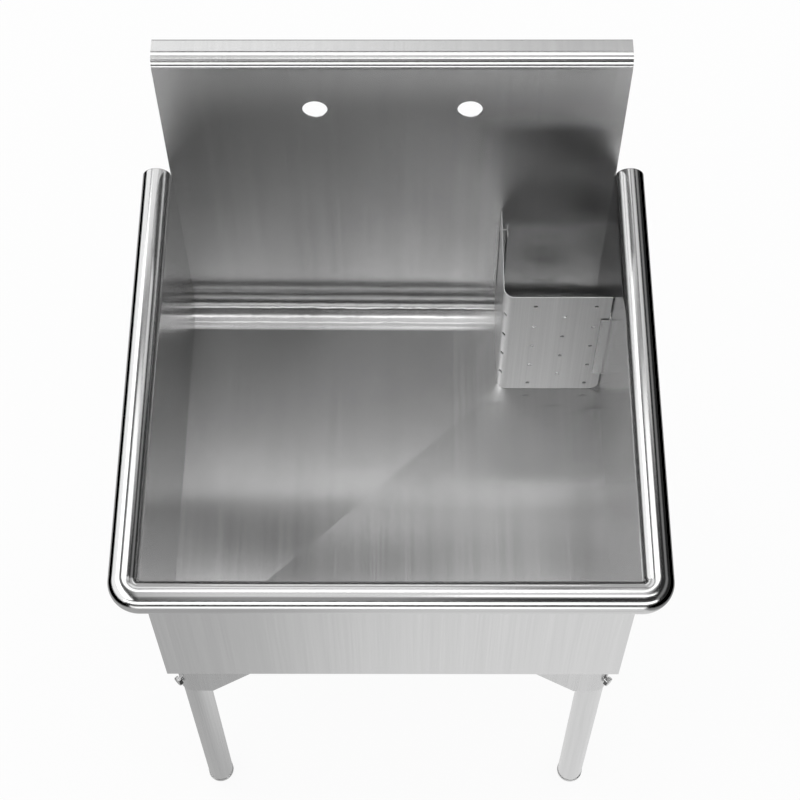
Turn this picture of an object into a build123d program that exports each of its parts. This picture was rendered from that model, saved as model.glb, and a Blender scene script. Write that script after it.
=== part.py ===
from build123d import *
import math
import os

os.makedirs("parts", exist_ok=True)

# Free-standing utility laundry sink: a square bowl with a creased, pitched floor,
# rolled rims on three sides, a backsplash, a perforated baffle around the corner
# drain, and four tubular legs with adjustable feet.
# Millimetres. +Z is up, +X to the right, +Y towards the wall behind the sink.
# The origin lies on the floor under the middle of the whole sink.

# ---------------------------------------------------------------- bowl
sheet = 1.5
bowl_width = 609.6
bowl_length = 609.6
bowl_depth = 325.8
floor_fall = 35.0
floor_tip = 6.0
crease_setback = 15.0
front_bend = 3.0
front_lip = 14.0
cove_radius = 42.0
cove_lip = 2.0

# ---------------------------------------------------------------- rolled rim
rim_height = 863.6
rim_radius = 19.8
rim_turn = 300.0
rim_corner_bore = 1.5
rim_end_setback = 3.7
rim_cap_thickness = 1.5
rim_cap_rounding = 0.7

# ---------------------------------------------------------------- backsplash
splash_rise = 221.0
nose_radius = 17.0
return_depth = 38.1
return_bend = 3.0
turn_down = 16.0
splash_overlap = 120.0
faucet_spacing = 203.2
faucet_hole_diameter = 33.0
faucet_drop = 96.5
end_plate_tail = 20.0
end_plate_play = 0.1

# ---------------------------------------------------------------- baffle and its guides
baffle_sheet = 1.2
baffle_side_offset = 152.4
baffle_back_offset = 148.0
baffle_drop = 100.8
baffle_bend = 15.0
baffle_corner = 16.0
baffle_floor_gap = 0.4
baffle_hole_diameter = 6.35
first_hole_column = 22.8
last_hole_column = 17.6
first_hole_row = 24.0
last_hole_row = 17.7
hole_columns = 7
hole_rows = 5
guide_width = 14.1
guide_reach = 14.0
guide_lead = 2.3
guide_lift = 57.6
rear_guide_drop = 50.0
side_guide_drop = 56.0
guide_bend = 1.5
guide_play = 1.0

# ---------------------------------------------------------------- corner drain
drain_side_offset = 76.2
drain_back_offset = 90.0
recess_seat_radius = 42.0
recess_lip_radius = 47.0
recess_height = 14.0
recess_sink = 3.0
recess_rounding = 3.0
drain_hole_radius = 30.0
strainer_cup_radius = 29.0
strainer_wall = 1.8
strainer_cup_depth = 36.0
strainer_flange_radius = 40.0
strainer_flange = 2.4
flange_rounding = 1.1
basket_step_radius = 31.0
basket_step_depth = 1.3
neck_radius = 23.2
neck_length = 18.0
neck_bore = 19.5
flange_gasket_thickness = 1.0
seal_ring_thickness = 3.0
friction_ring_thickness = 1.2
clamp_ring_radius = 39.0
locknut_radius = 38.0
locknut_height = 12.0
locknut_lugs = 6
lug_root = 1.0
thread_play = 0.15
tailpiece_radius = 19.05
tailpiece_wall = 1.0
tailpiece_length = 150.0
tailpiece_flange_radius = 22.8
tailpiece_flange = 1.5
tail_washer_thickness = 2.0
coupling_nut_radius = 28.0
coupling_nut_height = 21.0
coupling_lip = 5.0
coupling_lip_play = 0.95

# ---------------------------------------------------------------- lift-out strainer basket
basket_radius = 26.4
basket_wall = 0.9
basket_depth = 24.0
basket_seat_gap = 0.3
basket_lip_play = 0.4
basket_hole_radius = 2.0
basket_side_holes = 12
basket_inner_ring_radius = 9.0
basket_inner_ring_holes = 6
basket_outer_ring_radius = 17.0
basket_outer_ring_holes = 12
knob_radius = 7.0
knob_height = 7.0
knob_post_radius = 2.5
knob_clearance = 8.0

# ---------------------------------------------------------------- legs and feet
leg_radius = 19.05
leg_wall = 1.5
leg_inset = 24.3
leg_setback = 40.0
leg_top_gap = 3.0
sleeve_play = 0.1
sleeve_wall = 1.2
gusset_sheet = 1.5
gusset_height = 108.0
gusset_reach = 120.0
gusset_toe = 27.0
screw_radius = 4.0
screw_rise = 31.0
screw_standoff = 2.0
screw_head_width = 13.0
screw_head_height = 5.5
screw_crown_radius = 7.3
screw_crown_bevel = 0.9
plug_height = 20.0
plug_play = 0.05
stem_radius = 6.0
stem_play = 0.05
stem_length = 48.0
stem_chamfer = 1.0
foot_height = 12.0
foot_radius = 19.9
foot_collar = 5.0
foot_base_radius = 14.0
foot_gap = 0.3
foot_rounding = 1.5

# ---------------------------------------------------------------- derived places
half_inner = bowl_width / 2
half_outer = half_inner + sheet
overall_depth = 2 * rim_radius + bowl_length + return_depth
splash_y = overall_depth / 2 - return_depth
front_y = splash_y - bowl_length
rim_z = rim_height - rim_radius
splash_top = rim_height + splash_rise
front_floor_z = rim_height - bowl_depth
drain_corner_z = front_floor_z - floor_fall
back_corner_z = drain_corner_z + floor_tip
floor_back_y = splash_y - cove_radius - cove_lip
drain_x = half_inner - drain_side_offset
drain_y = splash_y - drain_back_offset
far = 2000.0
cut_past = 1.0


def box_between(low, high):
    """Solid box from its lowest to its highest corner."""
    sizes = [b - a for a, b in zip(low, high)]
    middle = [(a + b) / 2 for a, b in zip(low, high)]
    return Pos(*middle) * Box(*sizes)


def prism(plane, outline, length):
    """Solid swept from an outline on a plane, along that plane's normal."""
    return extrude(plane * outline, length, dir=plane.z_dir)


def disc(radius, low_z, high_z, x=0.0, y=0.0):
    """Upright cylinder between two heights."""
    height = high_z - low_z
    return Pos(x, y, low_z + height / 2) * Cylinder(radius, height)


def ring(outer, inner, low_z, high_z, x=0.0, y=0.0):
    """Upright washer between two heights."""
    body = disc(outer, low_z, high_z, x, y)
    return body - disc(inner, low_z - cut_past, high_z + cut_past, x, y)


def pitched_floor_z(y):
    """Height of the front-right floor plane, which falls straight to the back."""
    return front_floor_z - floor_fall * (y - front_y) / bowl_length


def tipped_slopes():
    """X and Y slopes of the rear-left floor plane, which meets the other at the crease."""
    crease_y = front_y + crease_setback
    along_x = (drain_corner_z - back_corner_z) / (2 * half_outer)
    along_y = (back_corner_z - pitched_floor_z(crease_y)) / (splash_y - crease_y)
    return along_x, along_y


def tipped_floor_z(x, y):
    """Height of the rear-left floor plane."""
    along_x, along_y = tipped_slopes()
    return back_corner_z + along_x * (x + half_outer) + along_y * (y - splash_y)


def floor_z(x, y):
    """Height of the bowl's floor at one place, ahead of the cove."""
    return max(pitched_floor_z(y), tipped_floor_z(x, y))


def bowl_outline(margin):
    """Side view of the bowl's hollow at its left end, with the cove, grown by margin."""
    near_y = front_y - margin
    back_y = splash_y + margin
    low_front = back_corner_z - tipped_slopes()[1] * bowl_length - margin
    low_back = back_corner_z - margin
    corners = [
        (near_y, splash_top),
        (near_y, low_front),
        (back_y, low_back),
        (back_y, splash_top),
    ]
    outline = make_face(Polyline(*corners, close=True))
    heel = outline.vertices().sort_by_distance((back_y, low_back, 0))[0]
    return fillet(heel, cove_radius + margin)


def pitched_room(margin):
    """All the room above the front-right floor plane and below the rim's centre."""
    near_y = front_y - margin - cut_past
    back_y = splash_y + margin + cut_past
    corners = [
        (near_y, rim_z),
        (near_y, pitched_floor_z(near_y) - margin),
        (back_y, pitched_floor_z(back_y) - margin),
        (back_y, rim_z),
    ]
    outline = make_face(Polyline(*corners, close=True))
    start = Plane.YZ.offset(-half_outer - cut_past)
    return prism(start, outline, 2 * (half_outer + cut_past))


def bowl_block(margin):
    """The bowl's hollow as a solid: where both floor planes leave room."""
    outline = Plane.YZ.offset(-half_outer) * bowl_outline(margin)
    sweep = Vector(2 * half_outer, 0, 2 * half_outer * tipped_slopes()[0])
    block = extrude(outline, sweep.length, dir=sweep.normalized()) & pitched_room(margin)
    near_y = front_y - margin
    toe = (0, near_y, pitched_floor_z(near_y) - margin)
    return fillet(block.edges().sort_by_distance(toe)[0], front_bend + margin)


def bowl_shell():
    """The sheet around the bowl's hollow: front wall, floor, cove and back."""
    return bowl_block(sheet) - bowl_block(0)


def recess_z():
    """Height of the drain recess's seat: just under the lowest floor around it."""
    lowest = pitched_floor_z(drain_y + recess_lip_radius)
    return lowest - recess_sink


def recess_plug(margin):
    """Round pressed recess of the drain, grown by margin."""
    low = recess_z() - margin
    high = recess_z() + recess_height
    cone = Cone(recess_seat_radius + margin, recess_lip_radius + margin, high - low)
    cone = Pos(drain_x, drain_y, (low + high) / 2) * cone
    return fillet(cone.edges().sort_by(Axis.Z)[0], recess_rounding + margin)


def rim_section(side):
    """Open roll of the rim; its inner side stands flush with the wall it grows from."""
    centre = (side * rim_radius, 0)
    start = 180 if side > 0 else 0
    turn = -side * rim_turn
    outer = CenterArc(centre, rim_radius, start, turn)
    inner = CenterArc(centre, rim_radius - sheet, start, turn)
    root = Line(outer @ 0, inner @ 0)
    free = Line(outer @ 1, inner @ 1)
    return make_face([outer, inner, root, free])


def side_wall(side):
    """Flat end panel of the bowl with its rolled rim."""
    slab = box_between(
        (min(side * half_inner, side * half_outer), front_y, drain_corner_z),
        (max(side * half_inner, side * half_outer), splash_y, rim_z),
    )
    panel = bowl_block(0) & slab
    start = Plane(
        origin=(side * half_inner, front_y + rim_corner_bore, rim_z),
        x_dir=(1, 0, 0),
        z_dir=(0, -1, 0),
    )
    roll_length = bowl_length - rim_corner_bore - rim_end_setback
    roll = prism(start, rim_section(side), -roll_length)
    return panel + roll


def front_wall(shell):
    """Front wall with its lower bend and its rolled rim."""
    zone = box_between(
        (-half_outer, front_y - sheet, front_floor_z - far),
        (half_outer, front_y + front_lip, rim_z),
    )
    panel = shell & zone
    reach = half_inner - rim_corner_bore
    start = Plane(origin=(-reach, front_y, rim_z), x_dir=(0, 1, 0), z_dir=(1, 0, 0))
    roll = prism(start, rim_section(-1), 2 * reach)
    return panel + roll


def rim_corner(side):
    """Formed corner of the rim: the roll turned a quarter around the bowl's corner."""
    axis_x = side * (half_inner - rim_corner_bore)
    axis_y = front_y + rim_corner_bore
    start = Plane(
        origin=(side * half_inner, axis_y, rim_z),
        x_dir=(1, 0, 0),
        z_dir=(0, -1, 0),
    )
    turn_axis = Axis((axis_x, axis_y, 0), (0, 0, -side))
    return revolve(start * rim_section(side), axis=turn_axis, revolution_arc=90)


def rim_cap(side):
    """Disc that closes the rear end of a side roll."""
    centre_x = side * (half_inner + rim_radius)
    near_y = splash_y - rim_end_setback
    plane = Plane(origin=(centre_x, near_y, rim_z), z_dir=(0, 1, 0))
    cap = prism(plane, Circle(rim_radius), rim_cap_thickness)
    cap = fillet(cap.edges().sort_by(Axis.Y)[-1], rim_cap_rounding)
    neighbour = box_between(
        (-half_outer, near_y - cut_past, rim_z - far),
        (half_outer, splash_y + return_depth, rim_z + far),
    )
    return cap - neighbour


def bowl_floor(shell):
    """Creased floor sheet with the pressed drain recess and the drain hole."""
    zone = box_between(
        (-half_outer, front_y + front_lip, drain_corner_z - far),
        (half_outer, floor_back_y, front_floor_z + cut_past),
    )
    floor = (shell & zone) + (recess_plug(sheet) - bowl_block(0))
    floor = floor - recess_plug(0)
    top = recess_z() + cut_past
    return floor - disc(drain_hole_radius, recess_z() - far, top, drain_x, drain_y)


def splash_outline():
    """Side view of the backsplash: face, rounded nose, return and turn-down."""
    low = rim_z - splash_overlap
    back = splash_y + return_depth
    points = [
        (splash_y, low),
        (splash_y, splash_top),
        (back, splash_top),
        (back, splash_top - turn_down),
        (back - sheet, splash_top - turn_down),
        (back - sheet, splash_top - sheet),
        (splash_y + sheet, splash_top - sheet),
        (splash_y + sheet, low),
    ]
    outline = make_face(Polyline(*points, close=True))
    for place, radius in (
        (points[1], nose_radius),
        (points[6], nose_radius - sheet),
        (points[2], return_bend + sheet),
        (points[5], return_bend),
    ):
        corner = outline.vertices().sort_by_distance((place[0], place[1], 0))[0]
        outline = fillet(corner, radius)
    return outline


def faucet_holes():
    """The pair of drillings that take a wall-mounted faucet."""
    z = splash_top - faucet_drop
    drill = Cylinder(faucet_hole_diameter / 2, 4 * sheet)
    spots = [(side * faucet_spacing / 2, splash_y, z) for side in (-1, 1)]
    return [Pos(*spot) * Rot(90, 0, 0) * drill for spot in spots]


def backsplash(shell):
    """Back wall of the bowl, its cove, and the splash above with nose and return."""
    zone = box_between(
        (-half_outer, floor_back_y, drain_corner_z - far),
        (half_outer, splash_y + sheet, rim_z - splash_overlap / 2),
    )
    upper = prism(Plane.YZ.offset(-half_outer), splash_outline(), 2 * half_outer)
    body = (shell & zone) + upper
    for drilling in faucet_holes():
        body = body - drilling
    return body


def splash_end(side):
    """Plate that closes the end of the backsplash behind its face."""
    low = rim_z - end_plate_tail
    inner = splash_y + sheet + end_plate_play
    back = splash_y + return_depth
    top = splash_top - sheet - end_plate_play
    points = [
        (inner, low),
        (back - sheet - end_plate_play, low),
        (back - sheet - end_plate_play, top),
        (inner, top),
    ]
    outline = make_face(Polyline(*points, close=True))
    nose = outline.vertices().sort_by_distance((inner, top, 0))[0]
    outline = fillet(nose, nose_radius - sheet - end_plate_play)
    heel = outline.vertices().sort_by_distance((points[2][0], top, 0))[0]
    outline = fillet(heel, return_bend)
    start = half_outer - sheet if side > 0 else -half_outer
    return prism(Plane.YZ.offset(start), outline, sheet)


def channel(drop):
    """Upright U channel: web against X = 0, open towards -X, centred on Y.

    Its upper end stands the given drop below the baffle's top.
    """
    side = guide_width / 2
    points = [
        (-guide_reach, -side),
        (0, -side),
        (0, side),
        (-guide_reach, side),
        (-guide_reach, side - baffle_sheet),
        (-baffle_sheet, side - baffle_sheet),
        (-baffle_sheet, -side + baffle_sheet),
        (-guide_reach, -side + baffle_sheet),
    ]
    outline = make_face(Polyline(*points, close=True))
    for place, radius in (
        (points[1], guide_bend),
        (points[2], guide_bend),
        (points[5], guide_bend - baffle_sheet),
        (points[6], guide_bend - baffle_sheet),
    ):
        corner = outline.vertices().sort_by_distance((place[0], place[1], 0))[0]
        outline = fillet(corner, radius)
    low = drain_corner_z + guide_lift
    high = rim_height - baffle_drop - drop
    return prism(Plane.XY.offset(low), outline, high - low)


def rear_guide():
    """Channel on the backsplash for the baffle's side leg."""
    x = half_inner - baffle_side_offset - guide_lead + guide_width / 2
    place = Pos(x, splash_y, 0) * Rot(0, 0, 90)
    return place * channel(rear_guide_drop)


def side_guide():
    """Channel on the right wall for the baffle's front leg."""
    y = splash_y - baffle_back_offset - guide_lead + guide_width / 2
    return Pos(half_inner, y, 0) * channel(side_guide_drop)


def baffle_plan():
    """Plan of the baffle: two legs joined by one rounded bend."""
    leg_x = half_inner - baffle_side_offset
    leg_y = splash_y - baffle_back_offset
    end_x = half_inner - baffle_sheet - guide_play
    end_y = splash_y - baffle_sheet - guide_play
    points = [
        (leg_x, end_y),
        (leg_x, leg_y),
        (end_x, leg_y),
        (end_x, leg_y + baffle_sheet),
        (leg_x + baffle_sheet, leg_y + baffle_sheet),
        (leg_x + baffle_sheet, end_y),
    ]
    outline = make_face(Polyline(*points, close=True))
    for place, radius in ((points[1], baffle_bend), (points[4], baffle_bend - baffle_sheet)):
        corner = outline.vertices().sort_by_distance((place[0], place[1], 0))[0]
        outline = fillet(corner, radius)
    return outline


def baffle_runs():
    """Lengths along the baffle: front leg, bend, and side leg."""
    bend_run = math.pi / 2 * (baffle_bend - baffle_sheet / 2)
    return baffle_side_offset - baffle_bend, bend_run, baffle_back_offset - baffle_bend


def baffle_station(run):
    """Point and heading on the baffle's outer face, at a run from the right wall."""
    leg_x = half_inner - baffle_side_offset
    leg_y = splash_y - baffle_back_offset
    front_run, bend_run, side_run = baffle_runs()
    if run <= front_run:
        return half_inner - run, leg_y, 0.0
    if run >= front_run + bend_run:
        return leg_x, leg_y + baffle_bend + run - front_run - bend_run, 90.0
    turn = 90.0 * (run - front_run) / bend_run
    x = leg_x + baffle_bend - baffle_bend * math.sin(math.radians(turn))
    y = leg_y + baffle_bend - baffle_bend * math.cos(math.radians(turn))
    return x, y, turn


def baffle_holes():
    """Staggered rows of drillings that carry on around the bend."""
    first_z = rim_height - baffle_drop - first_hole_row
    last_z = pitched_floor_z(splash_y - baffle_back_offset) + last_hole_row
    row_pitch = (first_z - last_z) / (hole_rows - 1)
    columns_run = sum(baffle_runs()) - first_hole_column - last_hole_column
    column_pitch = columns_run / (hole_columns - 1)
    drill = Rot(90, 0, 0) * Cylinder(baffle_hole_diameter / 2, 6 * baffle_sheet)
    drillings = []
    for column in range(hole_columns):
        x, y, turn = baffle_station(first_hole_column + column * column_pitch)
        stagger = column % 2
        for row in range(hole_rows - stagger):
            z = first_z - (row + stagger / 2) * row_pitch
            drillings.append(Pos(x, y, z) * Rot(0, 0, -turn) * drill)
    return drillings


def drain_baffle():
    """Lift-out perforated baffle that screens the drain corner."""
    top = rim_height - baffle_drop
    low = drain_corner_z - 2 * sheet
    body = prism(Plane.XY.offset(low), baffle_plan(), top - low)
    body = body & bowl_block(-baffle_floor_gap)
    leg_y = splash_y - baffle_back_offset
    toe_z = pitched_floor_z(leg_y) + baffle_floor_gap
    end_x = half_inner - baffle_sheet - guide_play
    corner = box_between(
        (end_x - baffle_corner, leg_y - cut_past, low),
        (end_x + cut_past, leg_y + 2 * baffle_sheet, toe_z + baffle_corner),
    )
    rounding = Rot(90, 0, 0) * Cylinder(baffle_corner, 6 * baffle_sheet)
    place = Pos(end_x - baffle_corner, leg_y + baffle_sheet / 2, toe_z + baffle_corner)
    rounding = place * rounding
    body = body - (corner - rounding)
    for drilling in baffle_holes():
        body = body - drilling
    return body


def strainer_body():
    """Drain body: flange with a stepped mouth, threaded cup, and threaded neck."""
    seat = recess_z() + flange_gasket_thickness
    top = seat + strainer_flange
    cup_low = recess_z() - strainer_cup_depth
    neck_low = cup_low - neck_length
    flange = disc(strainer_flange_radius, seat, top, drain_x, drain_y)
    flange = fillet(flange.edges().sort_by(Axis.Z)[-1], flange_rounding)
    cup = disc(strainer_cup_radius, cup_low, seat, drain_x, drain_y)
    neck = disc(neck_radius, neck_low, cup_low, drain_x, drain_y)
    inside_radius = strainer_cup_radius - strainer_wall
    dish_height = inside_radius - neck_bore
    dish = Cone(neck_bore, inside_radius, dish_height)
    dish_low = cup_low + strainer_wall
    dish = Pos(drain_x, drain_y, dish_low + dish_height / 2) * dish
    past = top + cut_past
    hollow = disc(inside_radius, dish_low + dish_height, past, drain_x, drain_y)
    step = disc(basket_step_radius, top - basket_step_depth, past, drain_x, drain_y)
    bore = disc(neck_bore, neck_low - cut_past, dish_low + cut_past, drain_x, drain_y)
    return flange + cup + neck - dish - hollow - step - bore


def basket_seat_z():
    """Underside of the basket's lip as it rests on the step of the drain body."""
    top = recess_z() + flange_gasket_thickness + strainer_flange
    return top - basket_step_depth + basket_seat_gap


def basket_drillings(low):
    """Drain holes in the basket's floor and side."""
    down = Cylinder(basket_hole_radius, 6 * basket_wall)
    sideways = Rot(0, 90, 0) * Cylinder(basket_hole_radius, 6 * basket_wall)
    inner = PolarLocations(basket_inner_ring_radius, basket_inner_ring_holes)
    outer = PolarLocations(basket_outer_ring_radius, basket_outer_ring_holes)
    drillings = []
    for spot in [*inner, *outer]:
        drillings.append(Pos(drain_x, drain_y, low) * spot * down)
    middle = low + basket_depth / 2
    for spot in PolarLocations(basket_radius - basket_wall / 2, basket_side_holes):
        drillings.append(Pos(drain_x, drain_y, middle) * spot * sideways)
    return drillings


def strainer_basket():
    """Lift-out perforated cup with a flat lip."""
    seat = basket_seat_z()
    low = seat - basket_depth
    lip_radius = basket_step_radius - basket_lip_play
    cup = disc(basket_radius, low, seat, drain_x, drain_y)
    cup = fillet(cup.edges().sort_by(Axis.Z)[0], 3 * basket_wall)
    lip = disc(lip_radius, seat, seat + basket_wall, drain_x, drain_y)
    hollow_radius = basket_radius - basket_wall
    hollow = disc(hollow_radius, low + basket_wall, seat + 2 * basket_wall, drain_x, drain_y)
    hollow = fillet(hollow.edges().sort_by(Axis.Z)[0], 2 * basket_wall)
    body = cup + lip - hollow
    for drilling in basket_drillings(low):
        body = body - drilling
    past = low - cut_past
    return body - disc(knob_post_radius, past, low + 2 * basket_wall, drain_x, drain_y)


def basket_knob():
    """Post and knob by which the basket is lifted."""
    low = basket_seat_z() - basket_depth
    under = basket_seat_z() + basket_wall + knob_clearance
    post = disc(knob_post_radius, low, under, drain_x, drain_y)
    grip = disc(knob_radius, under, under + knob_height, drain_x, drain_y)
    rims = grip.edges().filter_by(GeomType.CIRCLE)
    return post + fillet(rims, knob_height / 3)


def drain_washer(thickness, top, inner):
    """Flat ring clamped around the drain body."""
    return ring(clamp_ring_radius, inner, top - thickness, top, drain_x, drain_y)


def drain_locknut():
    """Ring nut with lugs that clamps the drain body from below."""
    top = recess_z() - sheet - seal_ring_thickness - friction_ring_thickness
    low = top - locknut_height
    web_radius = (strainer_cup_radius + locknut_radius) / 2
    body = disc(web_radius, low, top, drain_x, drain_y)
    body += disc(locknut_radius, top - locknut_height / 3, top, drain_x, drain_y)
    lug_depth = locknut_radius - web_radius + lug_root
    lug = Box(lug_depth, lug_depth, locknut_height)
    for spot in PolarLocations(locknut_radius - lug_depth / 2 - lug_root, locknut_lugs):
        body += Pos(drain_x, drain_y, low + locknut_height / 2) * spot * lug
    bore = strainer_cup_radius + thread_play
    return body - disc(bore, low - cut_past, top + cut_past, drain_x, drain_y)


def neck_low_z():
    """Lower end of the drain body's neck."""
    return recess_z() - strainer_cup_depth - neck_length


def tailpiece_washer():
    """Washer squeezed between the neck and the tailpiece."""
    top = neck_low_z()
    return ring(tailpiece_flange_radius, neck_bore, top - tail_washer_thickness, top, drain_x, drain_y)


def tailpiece():
    """Flanged outlet tube that a trap slips over."""
    top = neck_low_z() - tail_washer_thickness
    shoulder = top - tailpiece_flange
    low = shoulder - tailpiece_length
    bore = tailpiece_radius - tailpiece_wall
    body = disc(tailpiece_flange_radius, shoulder, top, drain_x, drain_y)
    body += disc(tailpiece_radius, low, shoulder, drain_x, drain_y)
    return body - disc(bore, low - cut_past, top + cut_past, drain_x, drain_y)


def coupling_nut():
    """Octagonal nut that draws the tailpiece up to the neck."""
    shoulder = neck_low_z() - tail_washer_thickness - tailpiece_flange - thread_play
    low = shoulder - coupling_lip
    plane = Plane(origin=(drain_x, drain_y, low))
    body = prism(plane, RegularPolygon(coupling_nut_radius, 8), coupling_nut_height)
    body = body - disc(neck_radius + thread_play, shoulder, low + far, drain_x, drain_y)
    bore = tailpiece_radius + coupling_lip_play
    return body - disc(bore, low - cut_past, shoulder + cut_past, drain_x, drain_y)


def leg_centre(side, end):
    """Plan position of a leg: side is -1 left or 1 right, end is -1 front or 1 rear."""
    x = side * (half_outer - leg_inset)
    wall_y = front_y - sheet if end < 0 else splash_y + sheet
    return x, wall_y - end * leg_setback


def under_floor_z(side, end):
    """Underside of the bowl's floor at a leg's centre."""
    return floor_z(*leg_centre(side, end)) - sheet


def gusset_low_z(side, end):
    """Lower edge of a leg's gusset."""
    return under_floor_z(side, end) - gusset_height


def sleeve_radius():
    """Outer radius of the sleeve that holds a leg."""
    return leg_radius + sleeve_play + sleeve_wall


def gusset_plan(side, end):
    """Plan of a gusset: two wings joined by a bend around the leg's sleeve."""
    x, y = leg_centre(side, end)
    inner = sleeve_radius()
    outer = inner + gusset_sheet
    points = [
        (-gusset_reach, outer),
        (outer, outer),
        (outer, -gusset_reach),
        (inner, -gusset_reach),
        (inner, inner),
        (-gusset_reach, inner),
    ]
    plan = [(x + side * u, y + end * v) for u, v in points]
    outline = make_face(Polyline(*plan, close=True))
    for place, radius in ((plan[1], outer), (plan[4], inner)):
        corner = outline.vertices().sort_by_distance((place[0], place[1], 0))[0]
        outline = fillet(corner, radius)
    return outline


def gusset_taper(start, heading, low):
    """Side view of what is cut away under a wing, from its toe to its tip."""
    high = low + gusset_height
    toe = start + heading * gusset_toe
    tip = start + heading * gusset_reach
    clear = start + heading * 2 * gusset_reach
    under = low - cut_past
    corners = [(toe, low), (tip, high), (clear, high), (clear, under), (toe, under)]
    return make_face(Polyline(*corners, close=True))


def leg_gusset(side, end, hollow):
    """Bent gusset with two tapering wings, cut to the floor's underside."""
    x, y = leg_centre(side, end)
    low = gusset_low_z(side, end)
    body = prism(Plane.XY.offset(low), gusset_plan(side, end), 2 * gusset_height)
    body = body - prism(Plane.XZ.offset(-far), gusset_taper(x, -side, low), 2 * far)
    body = body - prism(Plane.YZ.offset(-far), gusset_taper(y, -end, low), 2 * far)
    return body - hollow - screw_drilling(side, end, screw_radius)


def leg_sleeve(side, end, hollow):
    """Socket sleeve welded inside the gusset, around the leg."""
    x, y = leg_centre(side, end)
    low = gusset_low_z(side, end)
    bore = leg_radius + sleeve_play
    body = ring(sleeve_radius(), bore, low, low + 2 * gusset_height, x, y)
    return body - hollow - screw_drilling(side, end, screw_radius)


def screw_plane(side, end):
    """Plane on a leg's axis that faces out of the gusset's rounded corner."""
    x, y = leg_centre(side, end)
    z = gusset_low_z(side, end) + screw_rise
    return Plane(origin=(x, y, z), z_dir=(side, end, 0))


def screw_drilling(side, end, radius):
    """Hole for the set screw through the gusset and the sleeve."""
    drilling = prism(screw_plane(side, end), Circle(radius), 2 * leg_radius)
    x, y = leg_centre(side, end)
    return drilling - disc(leg_radius / 2, -far, far, x, y)


def set_screw(side, end):
    """Hexagon-head screw that clamps the leg in its sleeve."""
    plane = screw_plane(side, end)
    tip = leg_radius
    head = sleeve_radius() + gusset_sheet + screw_standoff
    shank = prism(plane.offset(tip), Circle(screw_radius), head - tip)
    flats = RegularPolygon(screw_head_width / 2, 6, major_radius=False)
    cap = prism(plane.offset(head), flats, screw_head_height)
    dome = prism(plane.offset(head), Circle(screw_crown_radius), screw_head_height)
    crown = dome.edges().filter_by(GeomType.CIRCLE).sort_by_distance(plane.origin)[-1]
    dome = chamfer(crown, screw_crown_bevel)
    return shank + (cap & dome)


def leg_tube(side, end):
    """Round leg tube from the foot up to just under the floor."""
    x, y = leg_centre(side, end)
    low = foot_height + foot_gap
    top = under_floor_z(side, end) - leg_top_gap
    return ring(leg_radius, leg_radius - leg_wall, low, top, x, y)


def leg_plug(side, end):
    """Threaded plug pressed into the lower end of a leg."""
    x, y = leg_centre(side, end)
    low = foot_height + foot_gap
    outer = leg_radius - leg_wall - plug_play
    return ring(outer, stem_radius + stem_play, low, low + plug_height, x, y)


def foot(side, end):
    """Adjustable foot: bullet-shaped base with a collar and a threaded stem."""
    x, y = leg_centre(side, end)
    taper_top = foot_height - foot_collar
    bullet = Cone(foot_base_radius, foot_radius, taper_top)
    bullet = Pos(x, y, taper_top / 2) * bullet
    collar = disc(foot_radius, taper_top, foot_height, x, y)
    stem = disc(stem_radius, foot_height, foot_height + stem_length, x, y)
    stem = chamfer(stem.edges().sort_by(Axis.Z)[-1], stem_chamfer)
    base = fillet((bullet + collar).edges().sort_by(Axis.Z)[0], foot_rounding)
    return base + stem


def save(name, shape):
    """Write one sub-part as a STEP file of solids."""
    solids = shape if isinstance(shape, list) else [shape]
    solids = [solid for piece in solids for solid in piece.solids()]
    whole = solids[0] if len(solids) == 1 else Compound(children=solids)
    export_step(whole, f"parts/{name}.step")


def save_bowl(shell):
    """Walls, floor, backsplash and rim pieces."""
    save("front_wall", front_wall(shell))
    save("left_wall", side_wall(-1))
    save("right_wall", side_wall(1))
    save("bowl_floor", bowl_floor(shell))
    save("backsplash", backsplash(shell))
    for side, name in ((-1, "left"), (1, "right")):
        save(f"{name}_splash_end", splash_end(side))
        save(f"{name}_rim_corner", rim_corner(side))
        save(f"{name}_rim_cap", rim_cap(side))


def save_drain():
    """Baffle, guides and the drain set from the flange down to the tailpiece."""
    save("rear_baffle_guide", rear_guide())
    save("side_baffle_guide", side_guide())
    save("drain_baffle", drain_baffle())
    save("strainer_body", strainer_body())
    save("strainer_basket", strainer_basket())
    save("basket_knob", basket_knob())
    cup = strainer_cup_radius
    seat = recess_z()
    save("flange_gasket", drain_washer(flange_gasket_thickness, seat + flange_gasket_thickness, cup))
    save("seal_ring", drain_washer(seal_ring_thickness, seat - sheet, cup + thread_play))
    friction_top = seat - sheet - seal_ring_thickness
    save("friction_ring", drain_washer(friction_ring_thickness, friction_top, cup + thread_play))
    save("drain_locknut", drain_locknut())
    save("tailpiece_washer", tailpiece_washer())
    save("tailpiece", tailpiece())
    save("coupling_nut", coupling_nut())


def save_legs():
    """Gusset, sleeve, tube, plug and foot of every leg, and the set screws."""
    hollow = bowl_block(sheet)
    screws = []
    for end, end_name in ((-1, "front"), (1, "rear")):
        for side, side_name in ((-1, "left"), (1, "right")):
            name = f"{end_name}_{side_name}"
            save(f"{name}_gusset", leg_gusset(side, end, hollow))
            save(f"{name}_leg_sleeve", leg_sleeve(side, end, hollow))
            save(f"{name}_leg", leg_tube(side, end))
            save(f"{name}_leg_plug", leg_plug(side, end))
            save(f"{name}_foot", foot(side, end))
            screws.append(set_screw(side, end))
    save("leg_set_screws", screws)


save_bowl(bowl_shell())
save_drain()
save_legs()
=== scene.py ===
"""Looks, light and camera for a free-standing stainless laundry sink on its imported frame."""
import logging
import math
from dataclasses import dataclass
from enum import Enum

import bpy
from mathutils import Matrix, Vector


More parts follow.
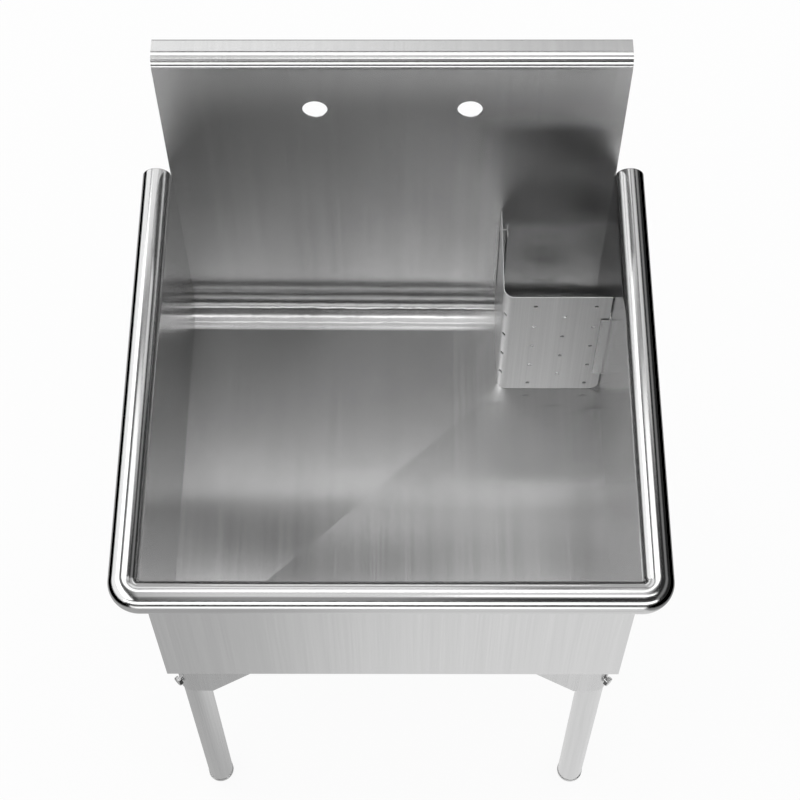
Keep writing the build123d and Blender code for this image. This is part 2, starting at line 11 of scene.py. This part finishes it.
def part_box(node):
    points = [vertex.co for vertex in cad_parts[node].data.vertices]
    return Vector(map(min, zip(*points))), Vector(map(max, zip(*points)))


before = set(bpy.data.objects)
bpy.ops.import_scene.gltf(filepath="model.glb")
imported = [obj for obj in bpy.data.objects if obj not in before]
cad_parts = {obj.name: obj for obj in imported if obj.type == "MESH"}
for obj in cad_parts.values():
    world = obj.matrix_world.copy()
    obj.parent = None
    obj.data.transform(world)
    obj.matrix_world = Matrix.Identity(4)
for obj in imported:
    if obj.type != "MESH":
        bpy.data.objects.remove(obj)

LOG = logging.getLogger("laundry_sink")
CORNERS = ("front_left", "front_right", "rear_left", "rear_right")
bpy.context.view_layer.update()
DRAWN_OUT = 0.006
NOISE_LOW, NOISE_HIGH = 0.25, 0.75
# On a plane this wide the object coordinates run from -1 to 1, as the card mask needs.
CARD_PLANE = 2.0
WHITE = (1.0, 1.0, 1.0, 1.0)


class Grain(Enum):
    """Direction of the polishing marks, as the scale of the pattern along X, Y and Z."""

    FRONT_TO_BACK = (1.0, DRAWN_OUT, DRAWN_OUT)
    SIDEWAYS = (DRAWN_OUT, 1.0, 1.0)
    ALONG_DEPTH = (1.0, DRAWN_OUT, 1.0)
    UPRIGHT = (1.0, 1.0, DRAWN_OUT)
    TURNED = (0.25, 0.25, 1.0)
    EVEN = (1.0, 1.0, 1.0)


def add_socket(
    tree: bpy.types.NodeTree, name: str, kind: str, inward: bool, value: float | None = None
) -> None:
    """Add one named socket to a node group.

    Args:
        tree: The group that gets the socket.
        name: The socket's name.
        kind: What the socket carries, such as Float or Vector.
        inward: True for an input, False for an output.
        value: The input's default value, or None.
    """
    side = "INPUT" if inward else "OUTPUT"
    socket = tree.interface.new_socket(name, in_out=side, socket_type=f"NodeSocket{kind}")
    if value is not None:
        socket.default_value = value


def add_node(
    tree: bpy.types.NodeTree,
    kind: str,
    values: dict[str | int, object] | None = None,
    **settings: object,
) -> bpy.types.Node:
    """Add one shader node to a tree.

    Args:
        tree: The tree that gets the node.
        kind: The node's Blender type without its ShaderNode start.
        values: Values of input sockets by name or number.
        settings: Values of the node's own settings.

    Returns:
        The new node.
    """
    node = tree.nodes.new(f"ShaderNode{kind}")
    for name, setting in settings.items():
        setattr(node, name, setting)
    for socket, value in (values or {}).items():
        node.inputs[socket].default_value = value
    return node


def steel_grain_group() -> bpy.types.NodeTree:
    """Build the shared pattern of polishing lines, soft clouding and hand marks.

    Returns:
        A group that turns a stretched and a plain position into three masks.
    """
    tree = bpy.data.node_groups.new("steel_grain", "ShaderNodeTree")
    add_socket(tree, "Along Grain", "Vector", True)
    add_socket(tree, "Place", "Vector", True)
    add_socket(tree, "Fineness", "Float", True, 700.0)
    add_socket(tree, "Cloud Size", "Float", True, 5.0)
    for mask in ("Lines", "Clouds", "Marks"):
        add_socket(tree, mask, "Float", False)
    broad_fineness, broad_weight = 0.13, 0.4
    link = tree.links.new
    into = tree.nodes.new("NodeGroupInput")
    out = tree.nodes.new("NodeGroupOutput")
    fine = add_node(tree, "TexNoise", {"Detail": 4.0, "Roughness": 0.62})
    link(into.outputs["Along Grain"], fine.inputs["Vector"])
    link(into.outputs["Fineness"], fine.inputs["Scale"])
    broad_scale = add_node(tree, "Math", {1: broad_fineness}, operation="MULTIPLY")
    link(into.outputs["Fineness"], broad_scale.inputs[0])
    broad = add_node(tree, "TexNoise", {"Detail": 3.0})
    link(into.outputs["Along Grain"], broad.inputs["Vector"])
    link(broad_scale.outputs[0], broad.inputs["Scale"])
    lines = add_node(tree, "Mix", {"Factor": broad_weight})
    link(fine.outputs["Fac"], lines.inputs["A"])
    link(broad.outputs["Fac"], lines.inputs["B"])
    link(lines.outputs["Result"], out.inputs["Lines"])
    clouds = add_node(tree, "TexNoise", {"Detail": 2.0, "Distortion": 0.3})
    link(into.outputs["Place"], clouds.inputs["Vector"])
    link(into.outputs["Cloud Size"], clouds.inputs["Scale"])
    link(clouds.outputs["Fac"], out.inputs["Clouds"])
    specks = add_node(tree, "TexNoise", {"Scale": 60.0, "Detail": 6.0})
    link(into.outputs["Place"], specks.inputs["Vector"])
    marks = add_node(tree, "MapRange", {"From Min": 0.6, "From Max": 0.78})
    link(specks.outputs["Fac"], marks.inputs["Value"])
    link(marks.outputs["Result"], out.inputs["Marks"])
    return tree


GRAIN_GROUP = steel_grain_group()


def node_material(name: str) -> bpy.types.Material:
    """Make a new material with its plain shader nodes.

    Args:
        name: The material's name.

    Returns:
        The new material.
    """
    made = bpy.data.materials.new(name)
    made.use_nodes = True
    return made


def swing_about(
    tree: bpy.types.NodeTree, mask: bpy.types.NodeSocket, middle: float, swing: float
) -> bpy.types.NodeSocket:
    """Turn a mask that varies about a half into a value about a middle.

    Args:
        tree: The tree that gets the node.
        mask: The varying mask.
        middle: The value where the mask is a half.
        swing: How far the value goes to either side.

    Returns:
        The value's socket.
    """
    ends = {
        "From Min": NOISE_LOW,
        "From Max": NOISE_HIGH,
        "To Min": middle - swing,
        "To Max": middle + swing,
    }
    node = add_node(tree, "MapRange", ends)
    tree.links.new(mask, node.inputs["Value"])
    return node.outputs["Result"]


@dataclass(frozen=True)
class SteelFinish:
    """Polished or brushed stainless steel.

    Attributes:
        name: The material's name.
        tone: How light the metal is, from 0 to 1.
        roughness: How satin the metal is.
        grain: Direction of the polishing marks.
        fineness: Polishing lines to a metre, roughly.
        line_depth: How much the lines change tone and gloss.
        cloud_depth: How much broad clouding changes the gloss.
        relief: Height of the lines in metres.
        stretch: How much further highlights spread across the grain than along it.
        across: Direction in which the highlights spread.
    """

    name: str
    tone: float = 0.66
    roughness: float = 0.2
    grain: Grain = Grain.FRONT_TO_BACK
    fineness: float = 700.0
    line_depth: float = 0.12
    cloud_depth: float = 0.06
    relief: float = 0.000004
    stretch: float = 0.0
    across: tuple[float, float, float] = (1.0, 0.0, 0.0)

    def material(self) -> bpy.types.Material:
        """Build the node material.

        Returns:
            The finished material.
        """
        made = node_material(self.name)
        tree = made.node_tree
        link = tree.links.new
        shader = tree.nodes["Principled BSDF"]
        shader.inputs["Metallic"].default_value = 1.0
        shader.inputs["Anisotropic"].default_value = self.stretch
        place = add_node(tree, "TexCoord")
        along = add_node(tree, "Mapping", {"Scale": self.grain.value})
        link(place.outputs["Object"], along.inputs["Vector"])
        grain = add_node(tree, "Group", node_tree=GRAIN_GROUP)
        grain.inputs["Fineness"].default_value = self.fineness
        link(along.outputs["Vector"], grain.inputs["Along Grain"])
        link(place.outputs["Object"], grain.inputs["Place"])
        tone = swing_about(tree, grain.outputs["Lines"], self.tone, self.tone * self.line_depth)
        tint = add_node(tree, "CombineColor")
        for channel in ("Red", "Green", "Blue"):
            link(tone, tint.inputs[channel])
        link(tint.outputs["Color"], shader.inputs["Base Color"])
        line_swing = self.roughness * self.line_depth
        gloss = swing_about(tree, grain.outputs["Lines"], self.roughness, line_swing)
        cloud = swing_about(tree, grain.outputs["Clouds"], 0.0, self.roughness * self.cloud_depth)
        mark = add_node(tree, "Math", {1: line_swing}, operation="MULTIPLY_ADD")
        link(grain.outputs["Marks"], mark.inputs[0])
        link(cloud, mark.inputs[2])
        total = add_node(tree, "Math")
        link(gloss, total.inputs[0])
        link(mark.outputs[0], total.inputs[1])
        link(total.outputs[0], shader.inputs["Roughness"])
        bump = add_node(tree, "Bump", {"Distance": self.relief})
        link(grain.outputs["Lines"], bump.inputs["Height"])
        link(bump.outputs["Normal"], shader.inputs["Normal"])
        if self.stretch:
            across = add_node(tree, "CombineXYZ", dict(zip("XYZ", self.across)))
            link(across.outputs["Vector"], shader.inputs["Tangent"])
        return made


@dataclass(frozen=True)
class PlainFinish:
    """Rubber, fibre or cast metal with a fine mottled surface.

    Attributes:
        name: The material's name.
        colour: Red, green and blue, from 0 to 1.
        roughness: How matt the surface is.
        metallic: 1 for a metal, else 0.
        pore_scale: Grains to a metre, roughly.
        relief: Height of the grains in metres.
        mottle: How much darker and lighter the colour gets.
        gloss_swing: How much the gloss varies.
    """

    name: str
    colour: tuple[float, float, float]
    roughness: float = 0.6
    metallic: float = 0.0
    pore_scale: float = 900.0
    relief: float = 0.00002
    mottle: float = 0.18
    gloss_swing: float = 0.08

    def material(self) -> bpy.types.Material:
        """Build the node material.

        Returns:
            The finished material.
        """
        made = node_material(self.name)
        tree = made.node_tree
        link = tree.links.new
        shader = tree.nodes["Principled BSDF"]
        shader.inputs["Metallic"].default_value = self.metallic
        place = add_node(tree, "TexCoord")
        pores = add_node(tree, "TexNoise", {"Scale": self.pore_scale, "Detail": 3.0})
        link(place.outputs["Object"], pores.inputs["Vector"])
        dark = (*(c * (1.0 - self.mottle) for c in self.colour), 1.0)
        light = (*(min(c * (1.0 + self.mottle), 1.0) for c in self.colour), 1.0)
        shade = add_node(tree, "Mix", {"A": dark, "B": light}, data_type="RGBA")
        link(pores.outputs["Fac"], shade.inputs["Factor"])
        link(shade.outputs["Result"], shader.inputs["Base Color"])
        gloss = swing_about(tree, pores.outputs["Fac"], self.roughness, self.gloss_swing)
        link(gloss, shader.inputs["Roughness"])
        bump = add_node(tree, "Bump", {"Distance": self.relief})
        link(pores.outputs["Fac"], bump.inputs["Height"])
        link(bump.outputs["Normal"], shader.inputs["Normal"])
        return made


def dress(node: str, *finishes: bpy.types.Material) -> bpy.types.Object:
    """Give a CAD node its materials, the first one all over.

    Args:
        node: The CAD node's name.
        finishes: The materials, in slot order.

    Returns:
        The CAD node's object.
    """
    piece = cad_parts[node]
    piece.data.materials.clear()
    for finish in finishes:
        piece.data.materials.append(finish)
    for face in piece.data.polygons:
        face.material_index = 0
    LOG.info("dressed %s with %s", node, ", ".join(f.name for f in finishes))
    return piece


@dataclass
class Bowl:
    """Walls, floor, backsplash and rolled rim.

    Attributes:
        rim_radius: Outer radius of the rolled rim in metres.
        seam_slack: How far below the roll its finish still reaches, in metres.
        bend_slack: How far short of the wall's sheet the outboard side ends, in metres.
        sheet_front_back: Finish of the front wall, the floor and the backsplash.
        sheet_side: Finish of the side walls, the end plates and the rim caps.
        roll_sideways: Finish of the front roll.
        roll_depth: Finish of the side rolls.
        corner: Finish of the formed rim corners.
    """

    rim_radius: float = 0.0198
    seam_slack: float = 0.0005
    bend_slack: float = 0.002
    sheet_front_back: SteelFinish = SteelFinish(
        "sheet_grain_front_to_back", tone=0.72, roughness=0.22, line_depth=0.07, stretch=1.0
    )
    sheet_side: SteelFinish = SteelFinish(
        "sheet_grain_side_walls",
        tone=0.6,
        grain=Grain.ALONG_DEPTH,
        roughness=0.18,
        line_depth=0.07,
        stretch=1.0,
        across=(0.0, 0.0, 1.0),
    )
    roll_sideways: SteelFinish = SteelFinish("roll_front", grain=Grain.SIDEWAYS, roughness=0.17)
    roll_depth: SteelFinish = SteelFinish("roll_sides", grain=Grain.ALONG_DEPTH, roughness=0.17)
    corner: SteelFinish = SteelFinish(
        "roll_corners", grain=Grain.EVEN, roughness=0.17, line_depth=0.05
    )

    def build(self) -> None:
        """Dress every bowl node, and the rolled part of each wall with its own finish."""
        flat = self.sheet_front_back.material()
        side = self.sheet_side.material()
        front_roll = self.roll_sideways.material()
        side_roll = self.roll_depth.material()
        turned = self.corner.material()
        self.mark_roll(dress("front_wall", flat, front_roll))
        for node in ("left_wall", "right_wall"):
            self.mark_roll(dress(node, side, side_roll))
        for node in ("bowl_floor", "backsplash"):
            dress(node, flat)
        for node in ("left_splash_end", "right_splash_end", "left_rim_cap", "right_rim_cap"):
            dress(node, side)
        for node in ("left_rim_corner", "right_rim_corner"):
            dress(node, turned)

    def mark_roll(self, wall: bpy.types.Object) -> None:
        """Give the rolled edge of a wall the second of its finishes.

        Args:
            wall: The wall's object.
        """
        roll_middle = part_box("left_rim_corner")[1].z - self.rim_radius
        roll_foot = roll_middle - self.rim_radius - self.seam_slack
        for face in wall.data.polygons:
            place = face.center
            rolled = place.z > roll_middle or self.outboard(wall.name, place)
            face.material_index = int(place.z > roll_foot and rolled)

    def outboard(self, name: str, place: Vector) -> bool:
        """Tell whether a point lies outboard of a wall's sheet.

        Args:
            name: The wall's node name.
            place: The point.

        Returns:
            True where the point is under the rolled rim, outside the wall.
        """
        low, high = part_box(name)
        width = 2 * self.rim_radius - self.bend_slack
        if name == "front_wall":
            return place.y < low.y + width
        if name == "left_wall":
            return place.x < low.x + width
        return place.x > high.x - width


@dataclass
class BaffleSet:
    """Lift-out perforated baffle with its two guides."""

    plate: SteelFinish = SteelFinish("baffle_plate", tone=0.66, roughness=0.34, grain=Grain.UPRIGHT)
    guide: SteelFinish = SteelFinish(
        "baffle_guides", tone=0.68, roughness=0.24, grain=Grain.UPRIGHT
    )

    def build(self) -> None:
        """Dress the baffle and both guides."""
        dress("drain_baffle", self.plate.material())
        guide = self.guide.material()
        for node in ("rear_baffle_guide", "side_baffle_guide"):
            dress(node, guide)


@dataclass
class DrainSet:
    """Strainer, its seals and nuts, and the tailpiece."""

    polished: SteelFinish = SteelFinish(
        "strainer_polish", tone=0.72, roughness=0.12, grain=Grain.TURNED, line_depth=0.08
    )
    plated: SteelFinish = SteelFinish(
        "plated_tube", tone=0.76, roughness=0.08, grain=Grain.TURNED, line_depth=0.05
    )
    zinc: PlainFinish = PlainFinish("cast_zinc", (0.42, 0.43, 0.45), 0.48, 1.0)
    rubber: PlainFinish = PlainFinish("seal_rubber", (0.03, 0.03, 0.032), 0.62)
    fibre: PlainFinish = PlainFinish("pressed_fibre", (0.26, 0.17, 0.1), 0.8)

    def build(self) -> None:
        """Dress the drain from the basket down."""
        polished, plated = self.polished.material(), self.plated.material()
        rubber, zinc = self.rubber.material(), self.zinc.material()
        for node in ("strainer_body", "strainer_basket", "basket_knob"):
            dress(node, polished)
        for node in ("tailpiece", "coupling_nut"):
            dress(node, plated)
        for node in ("flange_gasket", "seal_ring", "tailpiece_washer"):
            dress(node, rubber)
        dress("drain_locknut", zinc)
        dress("friction_ring", self.fibre.material())


@dataclass
class LegSet:
    """Gussets, sleeves, leg tubes, plugs, feet and set screws."""

    gusset: SteelFinish = SteelFinish("gusset_sheet", roughness=0.27, grain=Grain.UPRIGHT)
    tube: SteelFinish = SteelFinish("leg_tube", tone=0.7, roughness=0.24, grain=Grain.UPRIGHT)
    foot: SteelFinish = SteelFinish("foot_turned", tone=0.7, roughness=0.25, grain=Grain.TURNED)
    screw: SteelFinish = SteelFinish("screw_plated", tone=0.6, roughness=0.2, grain=Grain.EVEN)
    plug: PlainFinish = PlainFinish("plug_zinc", (0.4, 0.41, 0.43), 0.5, 1.0)

    def build(self) -> None:
        """Dress all four legs."""
        gusset, tube = self.gusset.material(), self.tube.material()
        foot, plug = self.foot.material(), self.plug.material()
        for corner in CORNERS:
            dress(f"{corner}_gusset", gusset)
            dress(f"{corner}_leg_sleeve", tube)
            dress(f"{corner}_leg", tube)
            dress(f"{corner}_leg_plug", plug)
            dress(f"{corner}_foot", foot)
        dress("leg_set_screws", self.screw.material())


class Side(Enum):
    """Side of the studio that a card hangs on, as its turn about X, Y and Z in degrees."""

    CEILING = (180.0, 0.0, 0.0)
    FRONT = (-90.0, 0.0, 0.0)
    REAR = (90.0, 0.0, 0.0)
    LEFT = (90.0, 0.0, 90.0)
    RIGHT = (90.0, 0.0, -90.0)


def studio_plane(
    name: str,
    size: float,
    place: tuple[float, float, float],
    turn: tuple[float, float, float] = (0.0, 0.0, 0.0),
) -> bpy.types.Object:
    """Add one square plane that belongs to the studio.

    Args:
        name: The plane's name.
        size: Its width in metres.
        place: Its middle in metres.
        turn: Its turn about X, Y and Z in degrees.

    Returns:
        The plane's object.
    """
    bpy.ops.object.select_all(action="DESELECT")
    rotation = [math.radians(angle) for angle in turn]
    bpy.ops.mesh.primitive_plane_add(size=size, location=place, rotation=rotation)
    plane = bpy.context.object
    plane.name = name
    return plane


def soft_border_group() -> bpy.types.NodeTree:
    """Build the shared mask of a card that fades out towards its border.

    Returns:
        A group that turns a place from -1 to 1 and two fade widths into one mask.
    """
    tree = bpy.data.node_groups.new("soft_border", "ShaderNodeTree")
    add_socket(tree, "Place", "Vector", True)
    add_socket(tree, "Fade X", "Float", True, 0.2)
    add_socket(tree, "Fade Y", "Float", True, 0.2)
    add_socket(tree, "Mask", "Float", False)
    link = tree.links.new
    into = tree.nodes.new("NodeGroupInput")
    out = tree.nodes.new("NodeGroupOutput")
    parts = add_node(tree, "SeparateXYZ")
    link(into.outputs["Place"], parts.inputs[0])
    both = add_node(tree, "Math", operation="MULTIPLY")
    for slot, axis in enumerate("XY"):
        reach = add_node(tree, "Math", operation="ABSOLUTE")
        link(parts.outputs[axis], reach.inputs[0])
        start = add_node(tree, "Math", {0: 1.0}, operation="SUBTRACT")
        link(into.outputs[f"Fade {axis}"], start.inputs[1])
        ends = {"From Max": 1.0, "To Min": 1.0, "To Max": 0.0}
        fade = add_node(tree, "MapRange", ends, interpolation_type="SMOOTHSTEP")
        link(reach.outputs[0], fade.inputs["Value"])
        link(start.outputs[0], fade.inputs["From Min"])
        link(fade.outputs["Result"], both.inputs[slot])
    link(both.outputs[0], out.inputs["Mask"])
    return tree


@dataclass(frozen=True)
class Card:
    """Soft light card of the studio, seen only in reflections.

    Attributes:
        name: The card's name.
        side: Side of the studio it hangs on.
        place: Its middle in metres.
        size: Its width and height in metres.
        level: Its brightness; 1 is white.
        fade: Width of its soft border in metres.
    """

    name: str
    side: Side
    place: tuple[float, float, float]
    size: tuple[float, float]
    level: float
    fade: float = 0.3

    def build(self, border: bpy.types.NodeTree) -> None:
        """Hang the card.

        Args:
            border: The shared soft-border group.
        """
        card = studio_plane(self.name, CARD_PLANE, self.place, self.side.value)
        card.scale = (self.size[0] / CARD_PLANE, self.size[1] / CARD_PLANE, 1.0)
        for ray in ("camera", "diffuse", "transmission", "volume_scatter", "shadow"):
            setattr(card, f"visible_{ray}", False)
        card.data.materials.append(self.material(border))

    def material(self, border: bpy.types.NodeTree) -> bpy.types.Material:
        """Build the card's glow, which lets cards behind it show through.

        Args:
            border: The shared soft-border group.

        Returns:
            The finished material.
        """
        made = node_material(self.name)
        tree = made.node_tree
        link = tree.links.new
        tree.nodes.remove(tree.nodes["Principled BSDF"])
        where = add_node(tree, "TexCoord")
        mask = add_node(tree, "Group", node_tree=border)
        for axis, length in zip("XY", self.size):
            share = min(CARD_PLANE * self.fade / length, 1.0)
            mask.inputs[f"Fade {axis}"].default_value = share
        link(where.outputs["Object"], mask.inputs["Place"])
        strength = add_node(tree, "Math", {1: self.level}, operation="MULTIPLY")
        link(mask.outputs["Mask"], strength.inputs[0])
        glow = add_node(tree, "Emission")
        link(strength.outputs[0], glow.inputs["Strength"])
        clear = add_node(tree, "BsdfTransparent")
        both = add_node(tree, "AddShader")
        link(glow.outputs["Emission"], both.inputs[0])
        link(clear.outputs["BSDF"], both.inputs[1])
        link(both.outputs["Shader"], tree.nodes["Material Output"].inputs["Surface"])
        return made


@dataclass
class Studio:
    """White floor, soft light cards and a dim room around the sink.

    Attributes:
        floor_reach: How far the floor runs to each side, in metres.
        floor_drop: How far the floor lies below the feet, in metres.
        floor_tone: How light the floor is, from 0 to 1.
        floor_roughness: How matt the floor is.
        shadow_share: How much of the sink's shadow the camera sees.
        floor_profile: Places along X in metres, each with the floor's level in reflections.
        room_level: Brightness of the room in reflections.
        lamp_power: Power of the lamp in watts.
        lamp_place: Middle of the lamp in metres.
        lamp_aim: Point that the lamp faces, in metres.
        lamp_size: Width and height of the lamp in metres.
        cards: The soft light cards.
    """

    floor_reach: float = 9.0
    floor_drop: float = 0.0003
    floor_tone: float = 0.86
    floor_roughness: float = 0.9
    shadow_share: float = 0.1
    floor_profile: tuple[tuple[float, float], ...] = (
        (-1.57, 0.02),
        (-1.27, 0.5),
        (-0.45, 0.5),
        (-0.2, 0.6),
        (0.11, 0.82),
        (0.57, 0.85),
        (0.87, 0.3),
        (1.15, 0.3),
        (1.45, 0.02),
    )
    room_level: float = 0.02
    lamp_power: float = 6.0
    lamp_place: tuple[float, float, float] = (-0.5, 0.9, 3.6)
    lamp_aim: tuple[float, float, float] = (0.0, 0.0, 0.6)
    lamp_size: tuple[float, float] = (2.2, 1.54)
    cards: tuple[Card, ...] = (
        Card("card_overhead", Side.CEILING, (-0.02, 0.82, 3.2), (1.76, 1.26), 1.9),
        Card("card_overhead_core", Side.CEILING, (-0.07, 0.55, 3.201), (1.68, 0.56), 1.39, 0.2),
        Card("card_overhead_front", Side.CEILING, (0.02, -0.48, 3.202), (2.3, 2.35), 0.9, 0.7),
        Card("card_overhead_right", Side.CEILING, (1.17, 1.77, 3.2), (1.45, 1.29), 0.88, 0.25),
        Card("card_rear_top", Side.CEILING, (-0.7, 2.27, 3.2), (2.28, 1.48), 1.15, 0.25),
        Card("card_left_top", Side.CEILING, (-2.3, -0.33, 3.2), (1.72, 5.54), 2.76),
        Card("card_right_front_top", Side.CEILING, (0.9, -0.8, 3.2), (1.64, 0.59), 2.72, 0.2),
        Card("card_behind_camera", Side.CEILING, (-0.29, -2.2, 3.2), (1.08, 1.85), 0.38),
        Card("card_left_wall", Side.LEFT, (-3.0, 0.0, 2.2), (6.6, 2.7), 1.25),
        Card("card_front_high", Side.FRONT, (0.0, -3.0, 2.08), (6.6, 1.19), 2.72),
        Card("card_front_low", Side.FRONT, (-0.4, -3.0, 0.3), (3.07, 1.2), 1.4),
        Card("card_rear_wall", Side.REAR, (0.0, 3.0, 1.6), (6.6, 3.8), 0.54),
        Card("card_right_high", Side.RIGHT, (3.0, 0.0, 2.71), (6.6, 1.48), 0.24),
    )

    def build(self) -> None:
        """Build the floor, the world, the lamp and the cards."""
        self.floor()
        self.world()
        self.lamp()
        border = soft_border_group()
        for card in self.cards:
            card.build(border)
        LOG.info("studio ready with %d cards", len(self.cards))

    def floor(self) -> None:
        """Lay the floor: white but for the sink's shadow, and a pale strip in reflections."""
        plane = studio_plane("studio_floor", 2 * self.floor_reach, (0.0, 0.0, -self.floor_drop))
        made = node_material("studio_floor")
        tree = made.node_tree
        link = tree.links.new
        shader = tree.nodes["Principled BSDF"]
        shader.inputs["Base Color"].default_value = (self.floor_tone,) * 3 + (1.0,)
        shader.inputs["Roughness"].default_value = self.floor_roughness
        shader.inputs["Specular IOR Level"].default_value = 0.0
        rays = add_node(tree, "LightPath")
        share = add_node(tree, "Math", {1: 1.0 - self.shadow_share}, operation="MULTIPLY")
        link(rays.outputs["Is Camera Ray"], share.inputs[0])
        white = add_node(tree, "Emission")
        seen = add_node(tree, "MixShader")
        link(share.outputs[0], seen.inputs["Fac"])
        link(shader.outputs["BSDF"], seen.inputs[1])
        link(white.outputs["Emission"], seen.inputs[2])
        glow = add_node(tree, "Emission")
        link(self.mirrored_level(tree), glow.inputs["Strength"])
        mirrored = add_node(tree, "MixShader")
        link(rays.outputs["Is Glossy Ray"], mirrored.inputs["Fac"])
        link(seen.outputs["Shader"], mirrored.inputs[1])
        link(glow.outputs["Emission"], mirrored.inputs[2])
        link(mirrored.outputs["Shader"], tree.nodes["Material Output"].inputs["Surface"])
        plane.data.materials.append(made)

    def mirrored_level(self, tree: bpy.types.NodeTree) -> bpy.types.NodeSocket:
        """Give the floor's brightness in reflections, a pale strip along Y.

        Args:
            tree: The floor material's tree.

        Returns:
            The brightness's socket.
        """
        where = add_node(tree, "TexCoord")
        parts = add_node(tree, "SeparateXYZ")
        tree.links.new(where.outputs["Object"], parts.inputs[0])
        ends = {"From Min": -self.floor_reach, "From Max": self.floor_reach}
        across = add_node(tree, "MapRange", ends)
        tree.links.new(parts.outputs["X"], across.inputs["Value"])
        level = add_node(tree, "FloatCurve")
        tree.links.new(across.outputs["Result"], level.inputs["Value"])
        curve = level.mapping.curves[0]
        for end in (curve.points[0], curve.points[-1]):
            end.location = (end.location[0], self.room_level)
        for x, height in self.floor_profile:
            curve.points.new(0.5 + x / (2 * self.floor_reach), height)
        level.mapping.update()
        return level.outputs["Value"]

    def world(self) -> None:
        """Fill the room: white, but nearly black in reflections."""
        world = bpy.data.worlds.new("studio")
        bpy.context.scene.world = world
        world.use_nodes = True
        tree = world.node_tree
        background = tree.nodes["Background"]
        background.inputs["Color"].default_value = WHITE
        rays = add_node(tree, "LightPath")
        level = add_node(tree, "MapRange", {"To Min": 1.0, "To Max": self.room_level})
        tree.links.new(rays.outputs["Is Glossy Ray"], level.inputs["Value"])
        tree.links.new(level.outputs["Result"], background.inputs["Strength"])

    def lamp(self) -> None:
        """Hang the soft lamp that casts the sink's faint shadow."""
        lamp = bpy.data.lights.new("softbox", "AREA")
        lamp.shape = "RECTANGLE"
        lamp.size, lamp.size_y = self.lamp_size
        lamp.energy = self.lamp_power
        box = bpy.data.objects.new("softbox", lamp)
        box.location = self.lamp_place
        aim = Vector(self.lamp_aim) - box.location
        box.rotation_euler = aim.to_track_quat("-Z", "Y").to_euler()
        box.visible_glossy = False
        bpy.context.scene.collection.objects.link(box)


@dataclass(frozen=True)
class PhotoCamera:
    """Camera at the photograph's place.

    Attributes:
        place: The camera's position in metres.
        heading: Turn to the right, in radians.
        dip: Tilt below the horizon, in radians.
        roll: Turn about the line of sight, in radians.
        focal_pixels: Focal length in pixels of the square picture.
        picture: Width of the picture in pixels.
        sensor: Width of the sensor in millimetres.
        far_clip: How far the camera sees, in metres.
    """

    place: tuple[float, float, float] = (0.02174, -1.20637, 2.89628)
    heading: float = -0.0098447
    dip: float = 1.0576053
    roll: float = -0.0079903
    focal_pixels: float = 1837.592
    picture: float = 800.0
    sensor: float = 36.0
    far_clip: float = 60.0

    def build(self) -> bpy.types.Object:
        """Place the camera and make it the scene's own.

        Returns:
            The camera's object.
        """
        data = bpy.data.cameras.new("photo_camera")
        data.sensor_width = self.sensor
        data.lens = self.focal_pixels * self.sensor / self.picture
        data.clip_end = self.far_clip
        camera = bpy.data.objects.new("photo_camera", data)
        east, north = math.sin(self.heading), math.cos(self.heading)
        level, down = math.cos(self.dip), math.sin(self.dip)
        ahead = Vector((east * level, north * level, -down))
        right = Vector((north, -east, 0.0))
        above = right.cross(ahead)
        rolled_right = math.cos(self.roll) * right + math.sin(self.roll) * above
        rolled_above = math.cos(self.roll) * above - math.sin(self.roll) * right
        turn = Matrix((rolled_right, rolled_above, -ahead)).transposed()
        camera.matrix_world = Matrix.Translation(self.place) @ turn.to_4x4()
        bpy.context.scene.collection.objects.link(camera)
        bpy.context.scene.camera = camera
        LOG.info("camera at %s, lens %.2f mm", self.place, data.lens)
        return camera


def main() -> None:
    """Build the looks in order and report each step."""
    logging.basicConfig(level=logging.INFO, format="%(name)s: %(message)s")
    bpy.context.scene.view_settings.view_transform = "Standard"
    for part in (PhotoCamera(), Studio(), Bowl(), BaffleSet(), DrainSet(), LegSet()):
        part.build()


if __name__ == "__main__":
    main()
